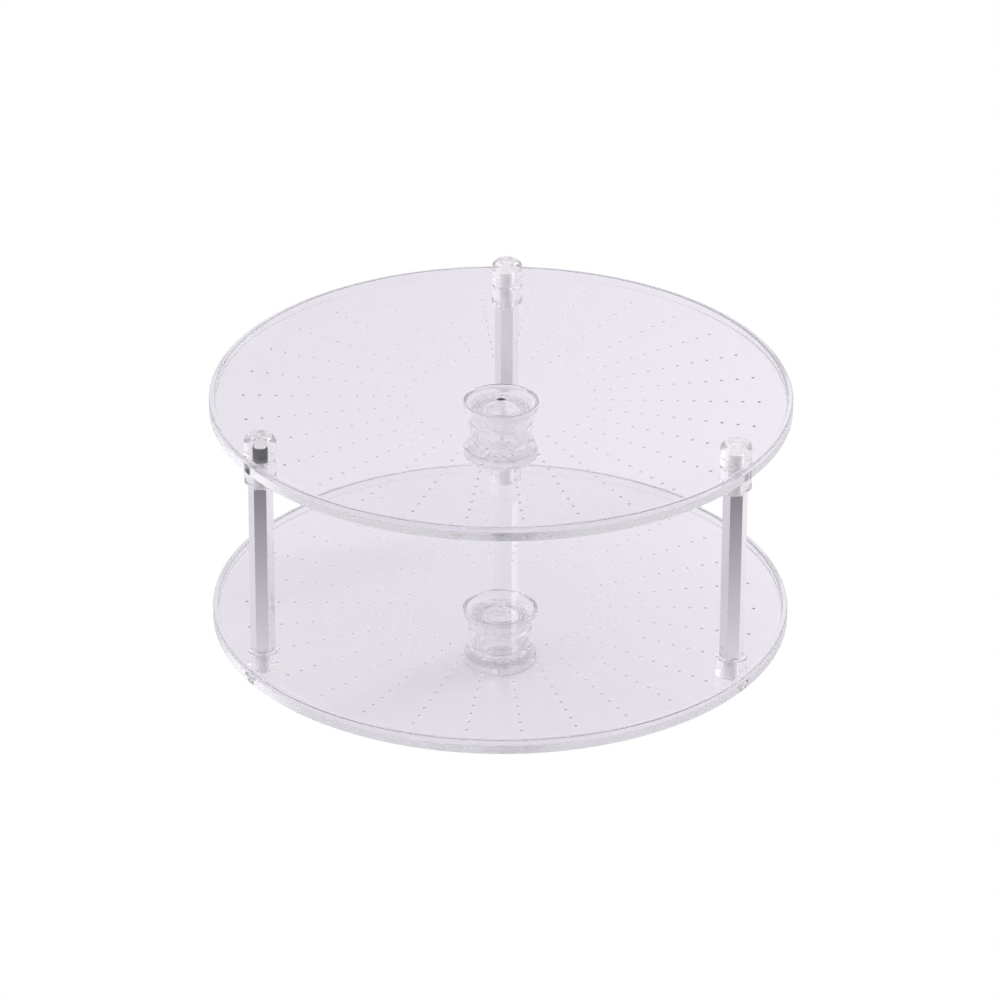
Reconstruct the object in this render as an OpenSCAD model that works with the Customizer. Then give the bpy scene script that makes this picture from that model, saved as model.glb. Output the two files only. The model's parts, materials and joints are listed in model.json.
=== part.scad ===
// Two-tier clear turntable: two identical round trays joined by three hexagonal steel posts.
// A spool-shaped hub with two rings of loose beads hangs below each tray.
// The lower hub stands on the table and carries the whole turntable.
// Millimetres, +Z up. The origin is on the spin axis at table level; the rear post is at +Y.

/* [Trays] */
// Outer diameter of both trays
tray_d = 300; // [260:10:360]
// Thickness of the flat plate of a tray
plate_t = 3.6; // [3:0.1:6]
// Width of the raised lip
lip_w = 3; // [2:0.5:5]
// Height of the lip above the plate
lip_h = 4; // [2:0.1:6]
// Rounding of the tray edges
edge_r = 0.6; // [0.3:0.1:1]
// Diameter of the moulding gate recess in the middle of a tray
gate_d = 5; // [3:0.5:8]
// Depth of the moulding gate recess
gate_depth = 1.5; // [0.5:0.5:2.5]

/* [Posts] */
// Number of posts
post_count = 3; // [3]
// Distance from the spin axis to a post's axis
post_ring_r = 138.5; // [110:0.5:138.5]
// Length of a hexagonal post
post_len = 94.4; // [60:0.2:160]
// Width of a post across its flats
post_af = 11; // [10:0.5:13]
// Angle that hand tightening left each post at: rear, left, right
post_turn = [2, 0, 6]; // [0:1:30]
// Diameter of the collars and the cap nuts
collar_d = 16.4; // [14:0.2:17]
// Height of the collars that stand on the lower tray
lower_collar_h = 10.5; // [6:0.5:16]
// Height of the collars under the upper tray
upper_collar_h = 12.4; // [6:0.1:16]
// Chamfer on the post side of the upper collars
collar_chamfer = 2.5; // [0.5:0.5:2.5]
// Height of a cap nut
cap_h = 12.7; // [12:0.1:20]
// Rounding of the top of a cap nut
cap_dome_r = 4.2; // [2:0.1:6]

/* [Threaded fasteners] */
// Nominal thread diameter
thread_d = 5; // [5]
// Length of a thread inside the end of a post
thread_in_post = 10; // [6:1:15]
// How far a stud stands above the upper tray
stud_above_tray = 7.8; // [5:0.1:9]
// Head diameter of the countersunk base screws
screw_head_d = 9.4; // [8:0.2:10]
// Size of the hexagonal key socket across its flats
key_af = 3; // [2.5:0.5:3]

/* [Hub] */
// Distance from the bottom of a foot pad to the underside of its tray
hub_h = 31.8; // [26:0.2:40]
// Diameter of the sleeve's top flange
flange_d = 39; // [36:1:60]
// Height of the sleeve's top flange
flange_h = 4.4; // [3:0.2:6]
// Outer diameter of the sleeve's waist
waist_d = 33.2; // [33:0.2:36]
// Inner diameter of the sleeve's waist
waist_bore_d = 30.8; // [30.8]
// Diameter of the foot
foot_d = 38.2; // [36:0.2:80]
// Height of the top of the foot above the bottom of the pad
foot_top_z = 6.5; // [6:0.5:8]
// Outer diameter of the hollow post on the foot
spindle_d = 22.4; // [22.4]
// Inner diameter of the hollow post on the foot
spindle_bore_d = 19.6; // [16:0.2:20]
// Diameter of the foot pad
pad_d = 33; // [28:1:34]
// Thickness of the foot pad
pad_t = 1.5; // [1:0.1:2]
// How far the pad stands out below the foot
pad_proud = 0.5; // [0.3:0.1:1]

/* [Beads] */
// Diameter of the loose beads
bead_d = 3.9; // [3:0.1:3.9]
// Number of beads in a ring
bead_count = 20; // [12:1:20]
// Radius of a bead ring
bead_ring_r = 13.3; // [13.3]

/* [Hidden] */
$fn = 96;
arc_steps = 6;

// Clearances
slip = 0.15;                // radial, round a stud or a screw in a tray
snug = 0.05;                // radial, in a tapped hole and between pieces that fit each other
running = 0.075;            // radial, between the sleeve and the spindle it turns on
moving_gap = 0.3;           // between moving faces that never touch
groove_gap = 0.1;           // between a bead and its groove

// Heights of the stack
lower_tray_z = hub_h;
lower_plate_top = lower_tray_z + plate_t;
post_z = lower_plate_top + lower_collar_h;
upper_collar_z = post_z + post_len;
upper_tray_z = upper_collar_z + upper_collar_h;
upper_plate_top = upper_tray_z + plate_t;
upper_hub_z = upper_tray_z - hub_h;

// Round sizes as radii
tray_r = tray_d / 2;
collar_r = collar_d / 2;
thread_r = thread_d / 2;
foot_r = foot_d / 2;
spindle_r = spindle_d / 2;
spindle_bore_r = spindle_bore_d / 2;
waist_r = waist_d / 2;
waist_bore_r = waist_bore_d / 2;
flange_r = flange_d / 2;
bead_r = bead_d / 2;
groove_r = bead_r + groove_gap;

// Bead races: each pair of faces stands race_gap apart, halfway up the beads
race_gap = 3.1;
race_floor_t = 2.4;
sleeve_bottom_z = foot_top_z + race_gap;
lower_bead_z = foot_top_z + race_gap / 2;
spindle_top_z = hub_h - 6;
upper_bead_z = spindle_top_z - race_gap / 2;
ledge_top_z = spindle_top_z - race_gap;
retainer_t = 2.2;
spigot_h = 4;
spigot_wall = 1.4;
foot_floor_t = 2;
foot_edge_r = 1.4;

// Sizes of the fasteners
screw_head_h = (screw_head_d - thread_d) / 2;
screw_len = plate_t + lower_collar_h + thread_in_post;
stud_len = thread_in_post + upper_collar_h + plate_t + stud_above_tray;
thread_chamfer = 0.6;
key_depth = 2.5;
cap_bore_depth = stud_above_tray + 2.4;

function post_angle(i) = 90 + i * 360 / post_count;

// Points of an arc about [x, y], in arc_steps straight steps
function arc(x, y, r, from, to) = [
    for (i = [0 : arc_steps]) let (a = from + (to - from) * i / arc_steps)
        [x + r * cos(a), y + r * sin(a)]
];

// A ring section from r_in to r_out, with its outer corners rounded
module ring_section(r_in, r_out, h, low_r, high_r) {
    polygon(concat(
        [[r_in, 0]],
        arc(r_out - low_r, low_r, low_r, -90, 0),
        arc(r_out - high_r, h - high_r, high_r, 0, 90),
        [[r_in, h]]
    ));
}

// A solid ring with rounded outer edges, standing on z
module ring(r_in, r_out, z, h, low_r, high_r) {
    translate([0, 0, z]) rotate_extrude() ring_section(r_in, r_out, h, low_r, high_r);
}

// The round groove of a bead ring
module bead_groove(z) {
    rotate_extrude() translate([bead_ring_r, z]) circle(r = groove_r);
}

module bead_ring(z) {
    for (i = [0 : bead_count - 1])
        rotate([0, 0, i * 360 / bead_count]) translate([bead_ring_r, 0, z]) sphere(r = bead_r);
}

// Places its children on the axis of post i
module at_post(i) {
    rotate([0, 0, post_angle(i)]) translate([post_ring_r, 0, 0]) children();
}

module at_every_post() {
    for (i = [0 : post_count - 1]) at_post(i) children();
}

// A plate with a raised lip, a moulding gate recess and the holes for the posts
module tray_blank(z) {
    difference() {
        ring(0, tray_r, z, plate_t + lip_h, edge_r, edge_r);
        translate([0, 0, z + plate_t])
            cylinder(r = tray_r - lip_w, h = lip_h + 1);
        translate([0, 0, z + plate_t - gate_depth])
            cylinder(d = gate_d, h = gate_depth + 1);
        at_every_post()
            translate([0, 0, z - 1]) cylinder(r = thread_r + slip, h = plate_t + 2);
    }
}

module countersink(z) {
    translate([0, 0, z])
        rotate_extrude() polygon([
            [0, -1], [screw_head_d / 2 + snug, -1], [screw_head_d / 2 + snug, 0],
            [thread_r + snug, screw_head_h], [0, screw_head_h]
        ]);
}

module lower_tray() {
    color([0.91, 0.90, 0.93, 0.4]) difference() {
        tray_blank(lower_tray_z);
        at_every_post() countersink(lower_tray_z);
    }
}

module upper_tray() {
    color([0.91, 0.90, 0.93, 0.4]) tray_blank(upper_tray_z);
}

// Hexagonal bar with a tapped hole in each end
module post(i) {
    hole_h = thread_in_post + 1;
    color([0.72, 0.70, 0.74]) difference() {
        at_post(i) rotate([0, 0, post_turn[i] - post_angle(i)])
            translate([0, 0, post_z]) cylinder(d = post_af / cos(30), h = post_len, $fn = 6);
        at_post(i) translate([0, 0, post_z - 1])
            cylinder(r = thread_r + snug, h = hole_h + 1);
        at_post(i) translate([0, 0, upper_collar_z - hole_h])
            cylinder(r = thread_r + snug, h = hole_h + 1);
    }
}

module lower_collar(i) {
    color([0.93, 0.92, 0.94, 0.4]) at_post(i)
        ring(thread_r + snug, collar_r, lower_plate_top, lower_collar_h, edge_r, edge_r);
}

// Collar whose lower edge is bevelled towards the post
module upper_collar(i) {
    color([0.93, 0.92, 0.94, 0.4]) at_post(i) translate([0, 0, upper_collar_z])
        rotate_extrude() polygon([
            [thread_r + snug, 0], [collar_r - collar_chamfer, 0], [collar_r, collar_chamfer],
            [collar_r, upper_collar_h], [thread_r + snug, upper_collar_h]
        ]);
}

module cap_nut(i) {
    color([0.93, 0.92, 0.94, 0.4]) at_post(i) difference() {
        ring(0, collar_r, upper_plate_top, cap_h, edge_r, cap_dome_r);
        translate([0, 0, upper_plate_top - 1])
            cylinder(r = thread_r + snug, h = cap_bore_depth + 1);
    }
}

// Fully threaded rod with chamfered ends, standing on z
module threaded_rod(z, len) {
    translate([0, 0, z]) rotate_extrude() polygon([
        [0, 0], [thread_r - thread_chamfer, 0], [thread_r, thread_chamfer],
        [thread_r, len - thread_chamfer], [thread_r - thread_chamfer, len], [0, len]
    ]);
}

module post_studs() {
    color([0.55, 0.53, 0.56]) at_every_post()
        threaded_rod(upper_collar_z - thread_in_post, stud_len);
}

module base_screw() {
    difference() {
        translate([0, 0, lower_tray_z]) rotate_extrude() polygon([
            [0, 0], [screw_head_d / 2, 0], [thread_r, screw_head_h],
            [thread_r, screw_len - thread_chamfer], [thread_r - thread_chamfer, screw_len],
            [0, screw_len]
        ]);
        translate([0, 0, lower_tray_z - 1])
            cylinder(d = key_af / cos(30), h = key_depth + 1, $fn = 6);
    }
}

module base_screws() {
    color([0.55, 0.53, 0.56]) at_every_post() base_screw();
}

// Rotor of a hub: flange under the tray, thin waist, bead ledge and bottom race
module hub_sleeve(z) {
    color([0.90, 0.90, 0.92, 0.4]) translate([0, 0, z]) difference() {
        union() {
            ring(waist_bore_r, flange_r, hub_h - flange_h, flange_h, foot_edge_r, edge_r);
            ring(waist_bore_r, waist_r, sleeve_bottom_z, hub_h - sleeve_bottom_z - 1, edge_r, edge_r);
            ring(spindle_r + running, waist_bore_r + edge_r, sleeve_bottom_z,
                race_floor_t, edge_r / 2, edge_r / 2);
            ring(spindle_r + moving_gap, waist_bore_r + edge_r, ledge_top_z - race_floor_t,
                race_floor_t, edge_r / 2, edge_r / 2);
        }
        bead_groove(lower_bead_z);
        bead_groove(upper_bead_z);
    }
}

// Stator of a hub: round foot with a hollow spindle and a recess for the pad
module hub_foot(z) {
    color([0.90, 0.90, 0.92, 0.4]) translate([0, 0, z]) difference() {
        union() {
            ring(0, foot_r, pad_proud, foot_top_z - pad_proud, foot_edge_r, foot_edge_r);
            cylinder(r = spindle_r, h = spindle_top_z);
        }
        translate([0, 0, pad_t + foot_floor_t])
            cylinder(r = spindle_bore_r, h = spindle_top_z);
        translate([0, 0, -1])
            cylinder(r = pad_d / 2 + snug, h = pad_t + 1);
        bead_groove(lower_bead_z);
    }
}

// Ring bonded into the spindle that keeps the sleeve and the upper beads on
module hub_retainer(z) {
    color([0.90, 0.90, 0.92, 0.4]) translate([0, 0, z]) difference() {
        union() {
            ring(spindle_bore_r - snug - spigot_wall, waist_bore_r - moving_gap,
                spindle_top_z, retainer_t, edge_r / 2, edge_r);
            translate([0, 0, spindle_top_z - spigot_h])
                cylinder(r = spindle_bore_r - snug, h = spigot_h + 1);
        }
        translate([0, 0, spindle_top_z - spigot_h - 1])
            cylinder(r = spindle_bore_r - snug - spigot_wall, h = spigot_h + retainer_t + 2);
        bead_groove(upper_bead_z);
    }
}

module hub_pad(z) {
    color([0.88, 0.88, 0.90, 0.5]) ring(0, pad_d / 2, z, pad_t, edge_r / 2, edge_r / 2);
}

module beads(z) {
    color([0.92, 0.93, 0.95, 0.6]) bead_ring(z);
}

lower_tray();
upper_tray();
post(0);  // post_rear
post(1);  // post_left
post(2);  // post_right
lower_collar(0);  // lower_collar_rear
lower_collar(1);  // lower_collar_left
lower_collar(2);  // lower_collar_right
upper_collar(0);  // upper_collar_rear
upper_collar(1);  // upper_collar_left
upper_collar(2);  // upper_collar_right
cap_nut(0);  // cap_nut_rear
cap_nut(1);  // cap_nut_left
cap_nut(2);  // cap_nut_right
post_studs();
base_screws();
hub_sleeve(0);  // lower_hub_sleeve
hub_foot(0);  // lower_hub_foot
hub_retainer(0);  // lower_hub_retainer
hub_pad(0);  // lower_hub_pad
beads(lower_bead_z);  // lower_beads_bottom
beads(upper_bead_z);  // lower_beads_top
hub_sleeve(upper_hub_z);  // upper_hub_sleeve
hub_foot(upper_hub_z);  // upper_hub_foot
hub_retainer(upper_hub_z);  // upper_hub_retainer
hub_pad(upper_hub_z);  // upper_hub_pad
beads(upper_hub_z + lower_bead_z);  // upper_beads_bottom
beads(upper_hub_z + upper_bead_z);  // upper_beads_top
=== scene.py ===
"""Looks of the clear two-tier turntable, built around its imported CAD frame."""

import json
import math
import random

import bmesh
import bpy
from mathutils import Euler, Matrix, Vector


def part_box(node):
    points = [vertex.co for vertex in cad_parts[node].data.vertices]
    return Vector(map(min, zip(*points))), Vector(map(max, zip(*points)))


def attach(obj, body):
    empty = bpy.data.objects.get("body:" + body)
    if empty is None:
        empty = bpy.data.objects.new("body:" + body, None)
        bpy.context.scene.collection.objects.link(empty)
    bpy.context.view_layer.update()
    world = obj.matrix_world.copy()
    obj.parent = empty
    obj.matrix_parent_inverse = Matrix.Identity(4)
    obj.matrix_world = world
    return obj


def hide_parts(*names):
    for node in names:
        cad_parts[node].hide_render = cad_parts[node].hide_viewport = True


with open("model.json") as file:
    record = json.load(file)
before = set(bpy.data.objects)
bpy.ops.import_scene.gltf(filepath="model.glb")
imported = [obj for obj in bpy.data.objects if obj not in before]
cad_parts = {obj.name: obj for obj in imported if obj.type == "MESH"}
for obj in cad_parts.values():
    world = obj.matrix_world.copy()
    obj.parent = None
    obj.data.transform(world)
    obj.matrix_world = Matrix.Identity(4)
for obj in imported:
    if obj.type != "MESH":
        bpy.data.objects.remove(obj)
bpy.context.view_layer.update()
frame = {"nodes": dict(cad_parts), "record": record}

MM = 0.001
BODIES = frame["record"]["behaviour"]["bodies"]
SIDES = ("rear", "left", "right")
TIERS = ("lower", "upper")
AIR = 0.03 * MM  # film of air left between clear pieces that rest on each other
BOND_W = 1.2 * MM  # width of the ring where a sleeve is bonded under its tray


def middle(node):
    """Where a round CAD node's own vertical axis stands."""
    low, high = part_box(node)
    return ((low[0] + high[0]) / 2, (low[1] + high[1]) / 2)


def radius(node):
    low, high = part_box(node)
    return (high[0] - low[0]) / 2


def levels(node):
    """Heights of the bottom and the top of a CAD node."""
    low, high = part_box(node)
    return low[2], high[2]


POST_AXES = {side: middle("lower_collar_" + side) for side in SIDES}

# ---------------------------------------------------------------- camera

CAMERA_DISTANCE = 3.1858
CAMERA_LENS = 221.3
CAMERA_AZIMUTH = math.radians(1.2)
CAMERA_ELEVATION = math.radians(27.68)
CAMERA_ROLL = math.radians(0.25)
CAMERA_AIM = Vector((-0.34 * MM, 0, 97.3 * MM))


def make_camera():
    away = Vector((
        math.sin(CAMERA_AZIMUTH) * math.cos(CAMERA_ELEVATION),
        -math.cos(CAMERA_AZIMUTH) * math.cos(CAMERA_ELEVATION),
        math.sin(CAMERA_ELEVATION),
    ))
    camera = bpy.data.objects.new("camera", bpy.data.cameras.new("camera"))
    camera.data.lens = CAMERA_LENS
    camera.location = CAMERA_AIM + away * CAMERA_DISTANCE
    level = (-away).to_track_quat("-Z", "Y").to_matrix()
    camera.rotation_euler = (level @ Matrix.Rotation(CAMERA_ROLL, 3, "Z")).to_euler()
    bpy.context.scene.collection.objects.link(camera)
    bpy.context.scene.camera = camera


# ---------------------------------------------------------------- node helpers


def new_material(name):
    """A material with an empty node tree, and that tree."""
    material = bpy.data.materials.new(name)
    material.use_nodes = True
    material.node_tree.nodes.clear()
    return material, material.node_tree


def add_node(tree, kind, **values):
    """A node of this kind. Keys that name an input set it, and the rest are attributes."""
    node = tree.nodes.new(kind)
    for key, value in values.items():
        socket = node.inputs.get(key.replace("_", " "))
        if socket is not None and not hasattr(node, key):
            socket.default_value = value
        else:
            setattr(node, key, value)
    return node


def link_inputs(tree, node, *sources):
    """Links these outputs to the node's first inputs, in order, and gives back its first output."""
    for socket, source in zip(node.inputs, sources):
        tree.links.new(source, socket)
    return node.outputs[0]


def object_coordinates(tree, scale=(1, 1, 1)):
    mapping = add_node(tree, "ShaderNodeMapping", Scale=scale)
    place = add_node(tree, "ShaderNodeTexCoord")
    return link_inputs(tree, mapping, place.outputs["Object"])


def axis_of(tree, vector, axis):
    """The X, Y or Z part of a vector."""
    split = add_node(tree, "ShaderNodeSeparateXYZ")
    link_inputs(tree, split, vector)
    return split.outputs[axis]


def noise(tree, vector, scale, detail=3.0):
    node = add_node(tree, "ShaderNodeTexNoise", Scale=scale, Detail=detail)
    tree.links.new(vector, node.inputs["Vector"])
    return node.outputs["Fac"]


def remap(tree, value, low, high, start=0.3, end=0.7):
    """Goes from low to high while value goes from start to end. The defaults suit a noise."""
    node = add_node(tree, "ShaderNodeMapRange")
    for socket, number in zip(node.inputs[1:5], (start, end, low, high)):
        socket.default_value = number
    return link_inputs(tree, node, value)


def combine_values(tree, operation, first, second):
    return link_inputs(tree, add_node(tree, "ShaderNodeMath", operation=operation), first, second)


def blend_colours(tree, value, first, second):
    """Goes from the first colour to the second. Each is an RGB tuple or another node's output."""
    node = add_node(tree, "ShaderNodeMix", data_type="RGBA")
    for socket, colour in ((node.inputs["A"], first), (node.inputs["B"], second)):
        if isinstance(colour, tuple):
            socket.default_value = (*colour, 1)
        else:
            tree.links.new(colour, socket)
    tree.links.new(value, node.inputs["Factor"])
    return node.outputs["Result"]


def bump(tree, height, strength, distance):
    node = add_node(tree, "ShaderNodeBump", Strength=strength, Distance=distance)
    tree.links.new(height, node.inputs["Height"])
    return node.outputs["Normal"]


def mix_shaders(tree, share, first, second):
    return link_inputs(tree, add_node(tree, "ShaderNodeMixShader"), share, first, second)


def principled(tree, colour, roughness, normal, **values):
    shader = add_node(tree, "ShaderNodeBsdfPrincipled", **values)
    tree.links.new(colour, shader.inputs["Base Color"])
    tree.links.new(roughness, shader.inputs["Roughness"])
    tree.links.new(normal, shader.inputs["Normal"])
    return shader.outputs[0]


def set_surface(tree, shader, kind="ShaderNodeOutputMaterial"):
    output = add_node(tree, kind)
    tree.links.new(shader, output.inputs["Surface"])
    return output


# ---------------------------------------------------------------- materials

EDGE_ROUGHNESS = 0.15
EDGE_BLEND = 0.2 * MM
MATT_EDGE_R = radius("upper_tray") - 0.35 * MM
# where the painted dark reflection at the top of the left stud ends, and how soft its edge is
PAINTED_REFLECTION_Z = levels("upper_collar_left")[1] + 0.5 * MM
PAINTED_REFLECTION_BLEND = 0.3 * MM
CLEAR_IOR = 1.49
SILICONE_IOR = 1.41
MILK = ((0.93, 0.92, 0.94), (1.0, 1.0, 1.0))
SOLVENT_TRACES = ((0.96, 0.955, 0.965), (1.0, 1.0, 1.0))
SCORCHED = ((0.01, 0.01, 0.012), (0.05, 0.045, 0.055))
BRIGHT_METAL = ((0.82, 0.80, 0.83), (0.88, 0.86, 0.89))
ZINC = ((0.86, 0.84, 0.87), (0.96, 0.94, 0.97))
# painted dark reflection on the top of the left stud
PAINTED_REFLECTION_BLACK = (0.015, 0.012, 0.016)


def clear_surface(tree, tints, wave_scale, rough, ior, matt_edge_r, haze):
    """Polished clear plastic with faint waves, smears, a matt edge and a share of milky scatter."""
    place = object_coordinates(tree)
    waves = noise(tree, place, wave_scale, 2.0)
    smears = noise(tree, place, wave_scale * 6, 4.0)
    roughness = remap(tree, smears, *rough)
    if matt_edge_r is not None:
        reach = add_node(tree, "ShaderNodeVectorMath", operation="LENGTH")
        link_inputs(tree, reach, object_coordinates(tree, (1, 1, 0)))
        edge = remap(tree, reach.outputs["Value"], 0, EDGE_ROUGHNESS, matt_edge_r, matt_edge_r + EDGE_BLEND)
        roughness = combine_values(tree, "ADD", roughness, edge)
    shader = principled(tree, blend_colours(tree, waves, *tints), roughness,
                        bump(tree, waves, 0.05, 0.05 * MM), IOR=ior, Transmission_Weight=1.0)
    if haze > 0:
        milk = add_node(tree, "ShaderNodeBsdfTranslucent")
        tree.links.new(blend_colours(tree, smears, *MILK), milk.inputs["Color"])
        share = remap(tree, smears, haze * 0.8, haze * 1.2)
        shader = mix_shaders(tree, share, shader, milk.outputs[0])
    return shader


def clear_plastic(name, tints, wave_scale, rough=(0.004, 0.02), lamp_tint=0.97, ior=CLEAR_IOR,
                  matt_edge_r=None, absorbs=None, haze=0.0):
    """Clear moulded plastic. Lamps and the floor's own light pass straight through it.

    tints: the two colours that its waves drift between.
    rough: lowest and highest roughness of its smears.
    lamp_tint: how much of the light that passes straight through is left.
    matt_edge_r: beyond this distance from the spin axis the surface is slightly matt.
    absorbs: colour and density of what a long path through the plastic loses.
    haze: share of the light that the moulding scatters.
    """
    material, tree = new_material(name)
    surface = clear_surface(tree, tints, wave_scale, rough, ior, matt_edge_r, haze)
    straight = add_node(tree, "ShaderNodeBsdfTransparent", Color=(lamp_tint, lamp_tint, lamp_tint, 1))
    path = add_node(tree, "ShaderNodeLightPath")
    lit_through = combine_values(
        tree, "MAXIMUM", path.outputs["Is Shadow Ray"], path.outputs["Is Diffuse Ray"])
    output = set_surface(tree, mix_shaders(tree, lit_through, surface, straight.outputs[0]))
    if absorbs is not None:
        colour, density = absorbs
        inside = add_node(
            tree, "ShaderNodeVolumeAbsorption", Density=density, Color=(*colour, 1))
        tree.links.new(inside.outputs[0], output.inputs["Volume"])
    return material


def bonded_joint():
    """Where a sleeve is bonded under its tray light runs on unbent, dimmed by traces of solvent."""
    material, tree = new_material("bonded_joint")
    traces = noise(tree, object_coordinates(tree), 700, 4.0)
    shader = add_node(tree, "ShaderNodeBsdfTransparent")
    set_surface(tree, link_inputs(tree, shader, blend_colours(tree, traces, *SOLVENT_TRACES)))
    return material


def gate_scar():
    """Scorched mark that the mould's gate left in the middle of the upper tray."""
    material, tree = new_material("gate_scar")
    specks = noise(tree, object_coordinates(tree), 2500, 4.0)
    set_surface(tree, principled(
        tree, blend_colours(tree, specks, *SCORCHED), remap(tree, specks, 0.35, 0.6),
        bump(tree, specks, 0.3, 0.05 * MM), IOR=CLEAR_IOR))
    return material


def polished_bar():
    """Drawn bar, polished along its length."""
    material, tree = new_material("polished_bar")
    draw_lines = noise(tree, object_coordinates(tree, (1, 1, 0.02)), 2500, 3.0)
    clouds = noise(tree, object_coordinates(tree), 60, 3.0)
    set_surface(tree, principled(
        tree, blend_colours(tree, clouds, *BRIGHT_METAL), remap(tree, clouds, 0.10, 0.16),
        bump(tree, draw_lines, 0.06, 0.02 * MM), Metallic=1.0))
    return material


def thread_steel():
    """Rolled thread: zinc-plated steel, with a painted dark reflection at the top of the left stud."""
    material, tree = new_material("thread_steel")
    place = add_node(tree, "ShaderNodeTexCoord").outputs["Object"]
    not_left = remap(tree, axis_of(tree, place, "X"), 0, 1, -0.09, -0.03)
    below = remap(tree, axis_of(tree, place, "Z"), 1, 0, PAINTED_REFLECTION_Z - PAINTED_REFLECTION_BLEND, PAINTED_REFLECTION_Z + PAINTED_REFLECTION_BLEND)
    # painted dark reflection: black at the top of the left stud, zinc everywhere else
    outside_painted_reflection = combine_values(tree, "MAXIMUM", not_left, below)
    clouds = noise(tree, place, 900, 4.0)
    set_surface(tree, principled(
        tree, blend_colours(tree, outside_painted_reflection, PAINTED_REFLECTION_BLACK, blend_colours(tree, clouds, *ZINC)),
        remap(tree, clouds, 0.45, 0.6), bump(tree, clouds, 0.1, 0.02 * MM), Metallic=0.1))
    return material


FITTING_TINTS = ((0.99, 0.985, 0.992), (0.975, 0.97, 0.98))
MATERIALS = {
    "clear_tray": clear_plastic(
        "clear_tray", ((0.975, 0.965, 0.985), (0.965, 0.95, 0.98)), 25,
        matt_edge_r=MATT_EDGE_R, absorbs=((0.3, 0.36, 0.33), 0.6)),
    "clear_fittings": clear_plastic("clear_fittings", FITTING_TINTS, 120, haze=0.12),
    "clear_hub": clear_plastic("clear_hub", FITTING_TINTS, 90, lamp_tint=0.955, haze=0.08),
    "beads": clear_plastic("beads", ((0.98, 0.985, 0.99), (0.97, 0.975, 0.985)), 400, ior=1.5),
    "clear_silicone": clear_plastic(
        "clear_silicone", ((0.99, 0.985, 0.99), (0.96, 0.955, 0.965)), 200,
        rough=(0.25, 0.45), lamp_tint=0.9, ior=SILICONE_IOR, haze=0.3),
    "polished_steel": polished_bar(),
    "thread_steel": thread_steel(),
}
BONDED = bonded_joint()
SCAR = gate_scar()

# ---------------------------------------------------------------- mesh helpers

FILLET_STEPS = 5


def arc(centre_r, centre_z, radius, start, end, steps=8):
    """(r, z, 0) corners along an arc, angles in degrees."""
    angles = [math.radians(start + (end - start) * i / steps) for i in range(steps + 1)]
    return [(centre_r + radius * math.cos(a), centre_z + radius * math.sin(a), 0) for a in angles]


def rounded_outline(corners):
    """Points of a closed outline given as (r, z, fillet) corners."""
    points = []
    for i, (r, z, fillet) in enumerate(corners):
        here = Vector((r, z))
        if fillet <= 0:
            points.append(here)
            continue
        back = (Vector(corners[i - 1][:2]) - here).normalized()
        on = (Vector(corners[(i + 1) % len(corners)][:2]) - here).normalized()
        half = back.angle(on) / 2
        centre = here + (back + on).normalized() * (fillet / math.sin(half))
        first = here + back * (fillet / math.tan(half)) - centre
        last = here + on * (fillet / math.tan(half)) - centre
        turn = math.atan2(first.x * last.y - first.y * last.x, first.dot(last))
        for step in range(FILLET_STEPS + 1):
            a = turn * step / FILLET_STEPS
            points.append(centre + Vector((
                first.x * math.cos(a) - first.y * math.sin(a),
                first.x * math.sin(a) + first.y * math.cos(a),
            )))
    return points


def object_from(bm, name):
    """A new object with this mesh, its normals outward. bm is used up."""
    bmesh.ops.recalc_face_normals(bm, faces=bm.faces)
    mesh = bpy.data.meshes.new(name)
    bm.to_mesh(mesh)
    bm.free()
    obj = bpy.data.objects.new(name, mesh)
    bpy.context.scene.collection.objects.link(obj)
    return obj


def add_lathe(bm, corners, axis=(0, 0), segments=96, matrix=None):
    """Turns a closed outline about the vertical line at axis, and adds it to bm."""
    rings = []
    for r, z in rounded_outline(corners):
        if r < 1e-7:
            rings.append([bm.verts.new((axis[0], axis[1], z))])
            continue
        rings.append([
            bm.verts.new((
                axis[0] + r * math.cos(2 * math.pi * k / segments),
                axis[1] + r * math.sin(2 * math.pi * k / segments),
                z,
            ))
            for k in range(segments)
        ])
    for low, high in zip(rings, rings[1:] + rings[:1]):
        if len(low) == 1 and len(high) == 1:
            continue
        for k in range(segments):
            after = (k + 1) % segments
            corners_of_face = [low[k % len(low)], low[after % len(low)],
                               high[after % len(high)], high[k % len(high)]]
            bm.faces.new(list(dict.fromkeys(corners_of_face)))
    if matrix is not None:
        bmesh.ops.transform(bm, matrix=matrix, verts=[v for ring in rings for v in ring])


def add_rod(bm, r, low, high, axis=(0, 0), segments=48, low_fillet=0):
    """Adds a plain round rod from low to high, used for cutting holes."""
    add_lathe(bm, [(0, low, 0), (r, low, low_fillet), (r, high, 0), (0, high, 0)], axis, segments)


def lathe(name, corners, axis=(0, 0), segments=96):
    bm = bmesh.new()
    add_lathe(bm, corners, axis, segments)
    return object_from(bm, name)


def combine(obj, tool, operation):
    """Cuts tool from obj, joins it on or keeps what both share. tool is used up."""
    modifier = obj.modifiers.new("combine", "BOOLEAN")
    modifier.operation = operation
    modifier.solver = "MANIFOLD"
    modifier.object = tool
    graph = bpy.context.evaluated_depsgraph_get()
    mesh = bpy.data.meshes.new_from_object(obj.evaluated_get(graph))
    obj.modifiers.remove(modifier)
    obj.data = mesh
    bpy.data.objects.remove(tool)


def place(obj, slot, node, sharp=35):
    """obj stands for this CAD node: it rides on its body and takes this slot's material.

    sharp: edges that turn by more than this many degrees stay crisp.
    """
    obj.data.shade_smooth()
    obj.data.set_sharp_from_angle(angle=math.radians(sharp))
    weighted = obj.modifiers.new("even_normals", "WEIGHTED_NORMAL")
    weighted.keep_sharp = True
    obj.data.materials.clear()
    obj.data.materials.append(MATERIALS[slot])
    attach(obj, next(body for body, members in BODIES.items() if node in members))
    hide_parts(node)


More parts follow.
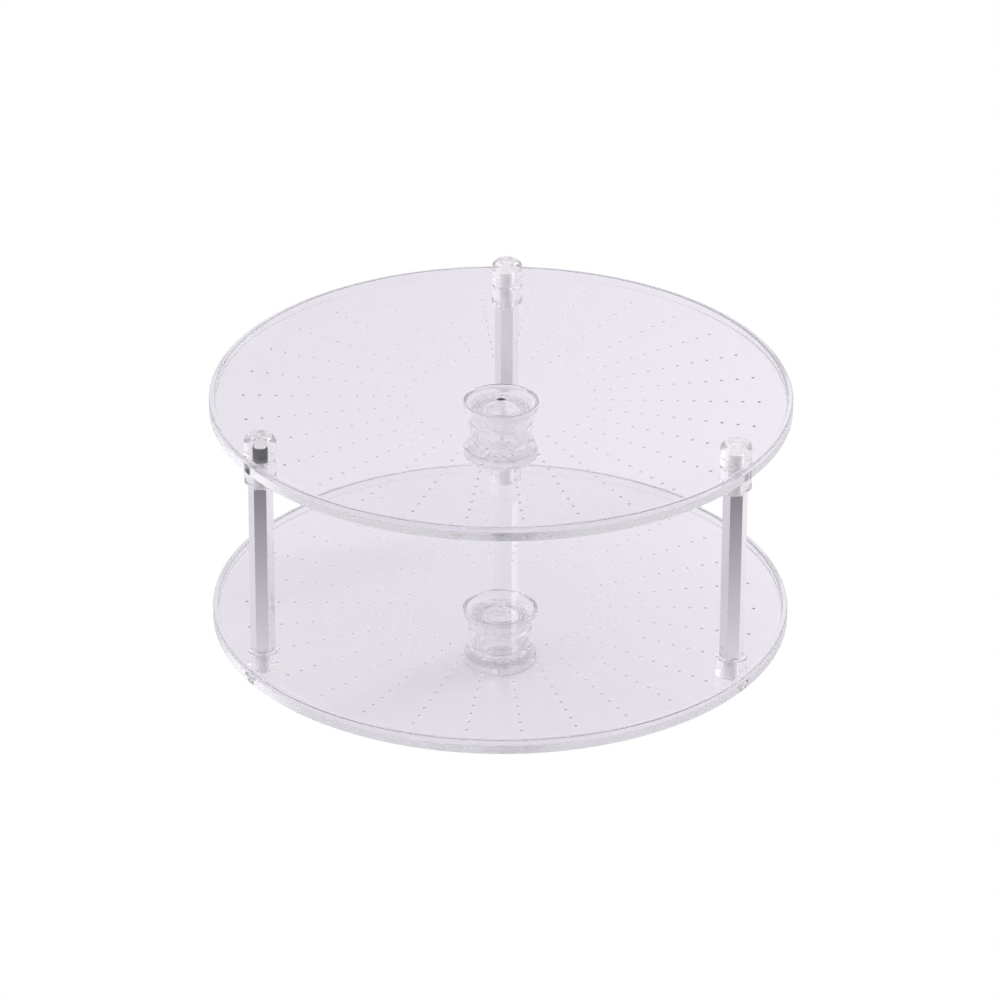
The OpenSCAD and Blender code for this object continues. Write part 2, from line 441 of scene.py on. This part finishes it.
def finish_faces(obj, material, z, inner_r, outer_r):
    """Gives the ring of obj's faces at height z another material."""
    obj.data.materials.append(material)
    for face in obj.data.polygons:
        flat_r = math.hypot(face.center.x, face.center.y)
        if abs(face.center.z - z) < 0.01 * MM and inner_r <= flat_r < outer_r:
            face.material_index = len(obj.data.materials) - 1


# ---------------------------------------------------------------- trays

DOT_ROWS = 30
DOTS_IN_ROW = 11
DOT_FIRST_R = 49 * MM
DOT_PITCH = 8.35 * MM
DOT_R = 0.95 * MM
DOT_RISE = 0.6 * MM
LIP_W = 3 * MM
STUD_HOLE_R = 2.65 * MM
SINK_R = 4.75 * MM  # countersink for the base screws
SINK_NECK_R = 2.55 * MM
SINK_DEPTH = 2.2 * MM
GATE_R = 2.5 * MM
GATE_DEPTH = 1.0 * MM
TRAY_SEGMENTS = 240


def dot_grid(z):
    """All the anti-slip dots of a tray as low domes, each rooted a little way into the plate."""
    bm = bmesh.new()
    root = z - DOT_RISE / 2
    dome = [
        (0, root, 0), (DOT_R, root, 0), (DOT_R, z + 0.05 * MM, 0),
        (DOT_R * 0.86, z + DOT_RISE * 0.6, 0), (DOT_R * 0.5, z + DOT_RISE * 0.92, 0),
        (0, z + DOT_RISE, 0),
    ]
    for row in range(DOT_ROWS):
        angle = 2 * math.pi * row / DOT_ROWS
        for n in range(DOTS_IN_ROW):
            r = DOT_FIRST_R + n * DOT_PITCH
            add_lathe(bm, dome, (r * math.cos(angle), r * math.sin(angle)), 14)
    return object_from(bm, "dots")


def tray_holes(tier, underside, plate_top):
    """Everything that is cut from a tray: stud holes, countersinks and the gate recess."""
    bm = bmesh.new()
    for axis in POST_AXES.values():
        add_rod(bm, STUD_HOLE_R, underside - MM, plate_top + MM, axis)
        if tier == "lower":
            add_lathe(bm, [
                (0, underside - MM, 0), (SINK_R, underside - MM, 0), (SINK_R, underside, 0),
                (SINK_NECK_R, underside + SINK_DEPTH, 0), (0, underside + SINK_DEPTH, 0),
            ], axis, 48)
    add_rod(bm, GATE_R, plate_top - GATE_DEPTH, plate_top + MM, low_fillet=0.3 * MM)
    return object_from(bm, "holes")


def make_tray(tier):
    node = tier + "_tray"
    underside, lip_top = levels(node)
    rim_r = radius(node)
    plate_top = levels("lower_collar_rear" if tier == "lower" else "cap_nut_rear")[0]
    sleeve_r = radius(tier + "_hub_sleeve")
    tray = lathe(node + "_clear", [
        (0, underside, 0), (sleeve_r - BOND_W, underside, 0), (sleeve_r, underside, 0),
        (rim_r, underside, 0.7 * MM), (rim_r, lip_top, 1.1 * MM),
        (rim_r - LIP_W, lip_top, 1.1 * MM), (rim_r - LIP_W, plate_top, 0.8 * MM), (0, plate_top, 0),
    ], segments=TRAY_SEGMENTS)
    combine(tray, dot_grid(plate_top), "UNION")
    combine(tray, tray_holes(tier, underside, plate_top), "DIFFERENCE")
    place(tray, "clear_tray", node)
    finish_faces(tray, BONDED, underside, sleeve_r - BOND_W, sleeve_r)
    if tier == "upper":
        finish_faces(tray, SCAR, plate_top - GATE_DEPTH, 0, GATE_R)


# ---------------------------------------------------------------- posts

POST_AF = 11 * MM
POST_CORNER_R = POST_AF / 2 / math.cos(math.pi / 6)
POST_EDGE_R = 0.25 * MM
TAP_R = 2.1 * MM
TAP_DEPTH = 11 * MM


def post_turn(node, axis):
    """Angle of one of the hexagon's corners, read from the CAD bar."""
    far = max(frame["nodes"][node].data.vertices,
              key=lambda v: (v.co.x - axis[0]) ** 2 + (v.co.y - axis[1]) ** 2)
    return math.atan2(far.co.y - axis[1], far.co.x - axis[0])


def hexagon_bar(name, axis, turn, low, high):
    """Hexagonal prism with its six long edges rounded."""
    bm = bmesh.new()
    inset = POST_EDGE_R / math.cos(math.pi / 6)
    loop = []
    for k in range(6):
        angle = turn + k * math.pi / 3
        centre = Vector((math.cos(angle), math.sin(angle))) * (POST_CORNER_R - inset)
        for step in range(-2, 3):
            a = angle + step * math.pi / 12
            loop.append(centre + Vector((math.cos(a), math.sin(a))) * POST_EDGE_R)
    rings = [[bm.verts.new((axis[0] + p.x, axis[1] + p.y, z)) for p in loop] for z in (low, high)]
    for k in range(len(loop)):
        after = (k + 1) % len(loop)
        bm.faces.new((rings[0][k], rings[0][after], rings[1][after], rings[1][k]))
    bm.faces.new(rings[0])
    bm.faces.new(rings[1])
    return object_from(bm, name)


def make_post(side):
    """A bar with its ends turned to a chamfer and tapped."""
    node = "post_" + side
    axis = POST_AXES[side]
    low, high = levels(node)
    post = hexagon_bar(node + "_polished", axis, post_turn(node, axis), low, high)
    turned = lathe("turned", [
        (0, low, 0), (POST_CORNER_R - 0.5 * MM, low, 0), (POST_CORNER_R + 0.2 * MM, low + 0.4 * MM, 0),
        (POST_CORNER_R + 0.2 * MM, high - 0.4 * MM, 0), (POST_CORNER_R - 0.5 * MM, high, 0), (0, high, 0),
    ], axis)
    combine(post, turned, "INTERSECT")
    bm = bmesh.new()
    for end, deep in ((low, low + TAP_DEPTH), (high, high - TAP_DEPTH)):
        add_rod(bm, TAP_R, end + (end - deep) * 0.1, deep, axis, 32)
    combine(post, object_from(bm, "taps"), "DIFFERENCE")
    place(post, "polished_steel", node, sharp=20)


# ---------------------------------------------------------------- collars and cap nuts

COLLAR_BEVEL = 2.5 * MM
CAP_DOME_R = 4.1 * MM
CAP_BORE_DEPTH = 6.6 * MM


def make_lower_collar(side):
    node = "lower_collar_" + side
    r = radius(node)
    low, high = levels(node)
    collar = lathe(node + "_clear", [
        (TAP_R, low + AIR, 0.2 * MM), (r, low + AIR, 0.5 * MM),
        (r, high - AIR, 0.6 * MM), (TAP_R, high - AIR, 0.2 * MM),
    ], POST_AXES[side])
    place(collar, "clear_fittings", node)


def make_upper_collar(side):
    node = "upper_collar_" + side
    r = radius(node)
    low, high = levels(node)
    collar = lathe(node + "_clear", [
        (TAP_R, low + AIR, 0.2 * MM), (r - COLLAR_BEVEL, low + AIR, 0.3 * MM),
        (r, low + COLLAR_BEVEL, 0.4 * MM), (r, high - AIR, 0.4 * MM), (TAP_R, high - AIR, 0.2 * MM),
    ], POST_AXES[side])
    place(collar, "clear_fittings", node)


def make_cap_nut(side):
    node = "cap_nut_" + side
    r = radius(node)
    low, high = levels(node)
    bore_end = low + CAP_BORE_DEPTH
    cap = lathe(node + "_clear", [
        (TAP_R, low + AIR, 0.3 * MM), (r, low + AIR, 0.5 * MM), (r, high, CAP_DOME_R), (0, high, 0),
        (0, bore_end, 0), (TAP_R, bore_end, 0.2 * MM),
    ], POST_AXES[side])
    place(cap, "clear_fittings", node)


# ---------------------------------------------------------------- threads

THREAD_R = 2.5 * MM
THREAD_ROOT_R = 2.12 * MM
THREAD_PITCH = 0.8 * MM
THREAD_FLANK = 3.4  # slope of the flanks, in thread heights per turn
THREAD_CREST = 1.5  # cut off at 1, which leaves the crest flat
THREAD_TURN_STEPS = 32
THREAD_PITCH_STEPS = 10
KEY_AF = 3 * MM
KEY_DEPTH = 2.4 * MM
KEY_TIP_DEPTH = 3 * MM


def add_thread(bm, axis, low, high, taper_low=True):
    """A closed threaded rod with tapered ends, standing on axis from low to high."""
    rows = round((high - low) / THREAD_PITCH * THREAD_PITCH_STEPS)
    rings = []
    for row in range(rows + 1):
        z = low + (high - low) * row / rows
        from_end = min(z - low, high - z) if taper_low else high - z
        limit = THREAD_ROOT_R - 0.1 * MM + min(from_end, MM)
        ring = []
        for k in range(THREAD_TURN_STEPS):
            share = k / THREAD_TURN_STEPS
            phase = (z / THREAD_PITCH - share) % 1
            rise = min(max(THREAD_CREST - abs(phase - 0.5) * THREAD_FLANK, 0), 1)
            r = min(THREAD_ROOT_R + (THREAD_R - THREAD_ROOT_R) * rise, limit)
            a = 2 * math.pi * share
            ring.append(bm.verts.new((axis[0] + r * math.cos(a), axis[1] + r * math.sin(a), z)))
        rings.append(ring)
    for below, above in zip(rings, rings[1:]):
        for k in range(THREAD_TURN_STEPS):
            after = (k + 1) % THREAD_TURN_STEPS
            bm.faces.new((below[k], below[after], above[after], above[k]))
    bm.faces.new(rings[0])
    bm.faces.new(rings[-1])


def make_studs():
    low = levels("post_studs")[0]
    high = levels("cap_nut_rear")[0] + CAP_BORE_DEPTH - 0.1 * MM
    bm = bmesh.new()
    for axis in POST_AXES.values():
        add_thread(bm, axis, low, high)
    place(object_from(bm, "post_studs_threaded"), "thread_steel", "post_studs", sharp=60)


def screw_heads(low, head_r, head_h):
    """The countersunk heads of the base screws."""
    bm = bmesh.new()
    neck = low + head_h
    for axis in POST_AXES.values():
        add_lathe(bm, [
            (0, low, 0), (head_r, low, 0.15 * MM), (THREAD_R, neck, 0),
            (THREAD_R, neck + 0.2 * MM, 0), (0, neck + 0.2 * MM, 0),
        ], axis, 48)
    return object_from(bm, "heads")


def key_sockets(low):
    """The hexagonal sockets of the base screws, with drilled tips."""
    bm = bmesh.new()
    corner_r = KEY_AF / 2 / math.cos(math.pi / 6)
    for axis in POST_AXES.values():
        add_lathe(bm, [
            (0, low - MM, 0), (corner_r, low - MM, 0), (corner_r, low + KEY_DEPTH, 0),
            (0, low + KEY_TIP_DEPTH, 0),
        ], axis, 6)
    return object_from(bm, "keys")


def make_base_screws():
    low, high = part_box("base_screws")
    head_r = (high[0] - low[0] - (POST_AXES["right"][0] - POST_AXES["left"][0])) / 2
    head_h = head_r - THREAD_R
    bm = bmesh.new()
    for axis in POST_AXES.values():
        add_thread(bm, axis, low[2] + head_h * 0.9, high[2], taper_low=False)
    screws = object_from(bm, "base_screws_threaded")
    combine(screws, screw_heads(low[2], head_r, head_h), "UNION")
    combine(screws, key_sockets(low[2]), "DIFFERENCE")
    place(screws, "thread_steel", "base_screws", sharp=40)


# ---------------------------------------------------------------- hubs

BEAD_COUNT = 20
BEAD_RING_R = 13.3 * MM
BEAD_RIDGE = 0.03 * MM
BEAD_RIDGE_ANGLE = 4
RACE_GAP = 3.1 * MM
RACE_T = 2.4 * MM
GROOVE_R = 2.05 * MM
SPINDLE_R = 11.2 * MM
SPINDLE_BORE_R = 9.8 * MM
WAIST_R = 16.6 * MM
WAIST_BORE_R = 15.4 * MM
FLANGE_H = 4.4 * MM
FLANGE_FILLET = 2.6 * MM
FLOOR_T = 2 * MM
RETAINER_WALL = 1.4 * MM
BORE_FLARE = 3.4 * MM  # depth of the flare at the top of a sleeve's bore
GRIP_RINGS = 5
GRIP_PITCH = 2.8 * MM
HUB_SEGMENTS = 144


def groove(face_z, bead_z):
    """Corners of a bead groove in a face, from its inner edge to its outer edge."""
    drop = math.degrees(math.asin(abs(face_z - bead_z) / GROOVE_R))
    if face_z < bead_z:
        return arc(BEAD_RING_R, bead_z, GROOVE_R, 180 + drop, 360 - drop)
    return arc(BEAD_RING_R, bead_z, GROOVE_R, 180 - drop, drop)


def hub_levels(tier):
    """Heights that the pieces of one hub share."""
    low, high = (sum(levels(tier + "_beads_" + level)) / 2 for level in ("bottom", "top"))
    return {"low_beads": low, "high_beads": high, "foot_top": low - RACE_GAP / 2,
            "sleeve_bottom": low + RACE_GAP / 2, "ledge_top": high - RACE_GAP / 2,
            "spindle_top": high + RACE_GAP / 2}


def make_sleeve(tier):
    node = tier + "_hub_sleeve"
    top = levels(node)[1]
    at = hub_levels(tier)
    flange_r = radius(node)
    flange_z = top - FLANGE_H
    bore = SPINDLE_R + 0.075 * MM
    ledge = SPINDLE_R + 0.3 * MM
    sleeve = lathe(node + "_clear", [
        (bore, at["sleeve_bottom"], 0.15 * MM), *groove(at["sleeve_bottom"], at["low_beads"]),
        (WAIST_R, at["sleeve_bottom"], 0.4 * MM), (WAIST_R, flange_z, 0.5 * MM),
        (flange_r, flange_z, FLANGE_FILLET), (flange_r, top, 0),
        (flange_r - BOND_W, top, 0), (WAIST_BORE_R, top - BORE_FLARE, 1.5 * MM),
        (WAIST_BORE_R, at["ledge_top"], 0.1 * MM),
        *reversed(groove(at["ledge_top"], at["high_beads"])),
        (ledge, at["ledge_top"], 0.1 * MM), (ledge, at["ledge_top"] - RACE_T, 0.3 * MM),
        (WAIST_BORE_R, at["ledge_top"] - RACE_T, 0.3 * MM),
        (WAIST_BORE_R, at["sleeve_bottom"] + RACE_T, 0.3 * MM),
        (bore, at["sleeve_bottom"] + RACE_T, 0.3 * MM),
    ], segments=TRAY_SEGMENTS)
    place(sleeve, "clear_hub", node)
    finish_faces(sleeve, BONDED, top, flange_r - BOND_W, flange_r)


def make_foot(tier):
    node = tier + "_hub_foot"
    bottom, top = levels(node)
    at = hub_levels(tier)
    foot_r = radius(node)
    recess_r = radius(tier + "_hub_pad") + 0.05 * MM
    recess_z = levels(tier + "_hub_pad")[1] + AIR
    foot = lathe(node + "_clear", [
        (0, recess_z, 0), (recess_r, recess_z, 0.15 * MM), (recess_r, bottom, 0.15 * MM),
        (foot_r, bottom, 1.3 * MM), (foot_r, at["foot_top"], 1.4 * MM),
        *reversed(groove(at["foot_top"], at["low_beads"])),
        (SPINDLE_R, at["foot_top"], 0.1 * MM), (SPINDLE_R, top, 0.2 * MM),
        (SPINDLE_BORE_R, top, 0.2 * MM), (SPINDLE_BORE_R, recess_z + FLOOR_T, 0.6 * MM),
        (0, recess_z + FLOOR_T, 0),
    ], segments=HUB_SEGMENTS)
    place(foot, "clear_hub", node)


def make_retainer(tier):
    node = tier + "_hub_retainer"
    bottom, top = levels(node)
    at = hub_levels(tier)
    r = radius(node)
    face = at["spindle_top"] + AIR
    spigot_r = SPINDLE_BORE_R - 0.05 * MM
    hole_r = spigot_r - RETAINER_WALL
    retainer = lathe(node + "_clear", [
        (hole_r, bottom, 0.3 * MM), (spigot_r, bottom, 0.3 * MM), (spigot_r, face, 0.1 * MM),
        *groove(face, at["high_beads"]),
        (r, face, 0.1 * MM), (r, top, 0.6 * MM), (hole_r, top, 0.4 * MM),
    ], segments=HUB_SEGMENTS)
    place(retainer, "clear_hub", node)


def make_pad(tier):
    """Silicone disc with concentric grip grooves underneath."""
    node = tier + "_hub_pad"
    bottom, top = levels(node)
    r = radius(node)
    under = []
    for n in range(1, GRIP_RINGS + 1):
        under += arc(n * GRIP_PITCH, bottom, 0.35 * MM, 180, 0, 6)
    pad = lathe(node + "_soft", [
        (0, bottom, 0), *under, (r, bottom, 0.3 * MM), (r, top, 0.3 * MM), (0, top, 0),
    ])
    place(pad, "clear_silicone", node)


def make_beads(tier, level):
    """A ring of moulded beads, each with a faint ridge where its mould closed."""
    node = tier + "_beads_" + level
    low, high = levels(node)
    r = (high - low) / 2
    z = (high + low) / 2
    halves = [arc(0, 0, r - BEAD_RIDGE, start, end, 14)
              for start, end in ((-90, -BEAD_RIDGE_ANGLE), (BEAD_RIDGE_ANGLE, 90))]
    ball = [(max(x, 0), y, 0) for x, y, _ in [*halves[0], (r, 0, 0), *halves[1]]]
    tumble = random.Random(node)
    bm = bmesh.new()
    for i in range(BEAD_COUNT):
        angle = 2 * math.pi * i / BEAD_COUNT
        spot = Matrix.Translation((BEAD_RING_R * math.cos(angle), BEAD_RING_R * math.sin(angle), z))
        turn = Euler([tumble.uniform(0, math.pi) for _ in range(3)]).to_matrix().to_4x4()
        add_lathe(bm, ball, segments=36, matrix=spot @ turn)
    place(object_from(bm, node + "_clear"), "beads", node)


# ---------------------------------------------------------------- stage

LIGHT_BOUNCES = 64  # light runs through a tray from rim to rim in about 30 reflections
FLOOR_SIZE = 6.0
FLOOR_DROP = 0.3 * MM
WHITE = (1, 1, 1, 1)
# Painted shade: the floor's colour darkens to the front, where the light has fallen off. There metal and
# gloss see a darker room than clear plastic does.
FLOOR_FRONT_PAINTED_SHADE = (0.13, 0.125, 0.135)
FLOOR_FRONT_REFRACTED_PAINTED_SHADE = (0.66, 0.65, 0.675)
FLOOR_MIDDLE = (0.78, 0.765, 0.80)
FLOOR_REAR_PAINTED_SHADE = (0.74, 0.725, 0.76)
FLOOR_FADE_Y = (-0.40, -0.12, 0.0, 0.4)  # the front ends, the middle begins and ends, the rear begins
ROOM_FRONT = (0.50, 0.49, 0.51)
ROOM_FRONT_REFRACTED = (0.72, 0.71, 0.735)
ROOM_BACK = (0.78, 0.765, 0.79)
ROOM_TOP = (0.95, 0.94, 0.96)
ROOM_GLOW = (1.55, 1.54, 1.56)
KEY_AZIMUTH = 28
KEY_ELEVATION = 24
LIT_HEIGHT = 0.08
SOFTBOXES = (  # name, azimuth, elevation, distance, size, watts
    ("key_right_back", KEY_AZIMUTH, KEY_ELEVATION, 1.4, 0.5, 9),
    ("fill_left_front", 200, 35, 1.6, 0.6, 4),
)


def heading(azimuth, elevation):
    """Unit vector toward this direction. Azimuth 0 is +X, and 90 is +Y."""
    a, e = math.radians(azimuth), math.radians(elevation)
    return Vector((math.cos(a) * math.cos(e), math.sin(a) * math.cos(e), math.sin(e)))


def make_floor():
    """A plain pale floor, white to the camera. To other rays its colour is painted shade: greyer to the
    front where the light falls off, and a little greyer to the rear.
    """
    bm = bmesh.new()
    bmesh.ops.create_grid(bm, x_segments=1, y_segments=1, size=FLOOR_SIZE / 2)
    floor = object_from(bm, "floor")
    floor.location.z = -FLOOR_DROP
    material, tree = new_material("floor")
    spot = add_node(tree, "ShaderNodeTexCoord").outputs["Object"]
    path = add_node(tree, "ShaderNodeLightPath")
    depth = axis_of(tree, spot, "Y")
    # painted shade: the floor's colour falls off to the front and to the rear
    front = blend_colours(
        tree, path.outputs["Is Transmission Ray"], FLOOR_FRONT_PAINTED_SHADE, FLOOR_FRONT_REFRACTED_PAINTED_SHADE)
    near_painted_shade = blend_colours(tree, remap(tree, depth, 0, 1, *FLOOR_FADE_Y[:2]), front, FLOOR_MIDDLE)
    colour = blend_colours(tree, remap(tree, depth, 0, 1, *FLOOR_FADE_Y[2:]), near_painted_shade, FLOOR_REAR_PAINTED_SHADE)
    diffuse = add_node(tree, "ShaderNodeBsdfDiffuse")
    white = add_node(tree, "ShaderNodeEmission", Strength=1.0, Color=WHITE)
    set_surface(tree, mix_shaders(
        tree, path.outputs["Is Camera Ray"], link_inputs(tree, diffuse, colour), white.outputs[0]))
    floor.data.materials.append(material)


def make_world():
    """White to the camera. Everything else sees a soft studio, dim on the camera's side."""
    world = bpy.data.worlds.new("studio")
    world.use_nodes = True
    tree = world.node_tree
    tree.nodes.clear()
    direction = add_node(tree, "ShaderNodeTexCoord").outputs["Generated"]
    path = add_node(tree, "ShaderNodeLightPath")
    back = remap(tree, axis_of(tree, direction, "Y"), 0, 1, -0.9, 0.2)
    up = remap(tree, axis_of(tree, direction, "Z"), 0, 1, 0.55, 0.85)
    toward = add_node(tree, "ShaderNodeVectorMath", operation="DOT_PRODUCT")
    toward.inputs[1].default_value = heading(KEY_AZIMUTH, KEY_ELEVATION)
    tree.links.new(direction, toward.inputs[0])
    glow = remap(tree, toward.outputs["Value"], 0, 1, 0.90, 0.985)
    front = blend_colours(
        tree, path.outputs["Is Transmission Ray"], ROOM_FRONT, ROOM_FRONT_REFRACTED)
    room = blend_colours(tree, up, blend_colours(tree, back, front, ROOM_BACK), ROOM_TOP)
    studio = add_node(tree, "ShaderNodeBackground")
    white = add_node(tree, "ShaderNodeBackground", Color=WHITE)
    set_surface(tree, mix_shaders(
        tree, path.outputs["Is Camera Ray"],
        link_inputs(tree, studio, blend_colours(tree, glow, room, ROOM_GLOW)), white.outputs[0],
    ), "ShaderNodeOutputWorld")
    bpy.context.scene.world = world


def add_softbox(name, azimuth, elevation, distance, size, watts):
    """A square softbox that faces the object. Its glare is left to the studio's own glow."""
    out = heading(azimuth, elevation)
    light = bpy.data.lights.new(name, "AREA")
    light.size = size
    light.energy = watts
    box = bpy.data.objects.new(name, light)
    box.visible_glossy = False
    box.visible_transmission = False
    box.location = Vector((0, 0, LIT_HEIGHT)) + out * distance
    box.rotation_euler = (-out).to_track_quat("-Z", "Y").to_euler()
    bpy.context.scene.collection.objects.link(box)


def set_light_paths():
    """Plain display colours, and enough bounces for light to run through a whole tray."""
    scene = bpy.context.scene
    scene.view_settings.view_transform = "Standard"
    scene.cycles.max_bounces = LIGHT_BOUNCES
    scene.cycles.transmission_bounces = LIGHT_BOUNCES
    scene.cycles.glossy_bounces = LIGHT_BOUNCES
    scene.cycles.transparent_max_bounces = LIGHT_BOUNCES


make_camera()
make_floor()
make_world()
for softbox in SOFTBOXES:
    add_softbox(*softbox)
for tier in TIERS:
    make_tray(tier)
    make_sleeve(tier)
    make_foot(tier)
    make_retainer(tier)
    make_pad(tier)
    for level in ("bottom", "top"):
        make_beads(tier, level)
for side in SIDES:
    make_post(side)
    make_lower_collar(side)
    make_upper_collar(side)
    make_cap_nut(side)
make_studs()
make_base_screws()
set_light_paths()
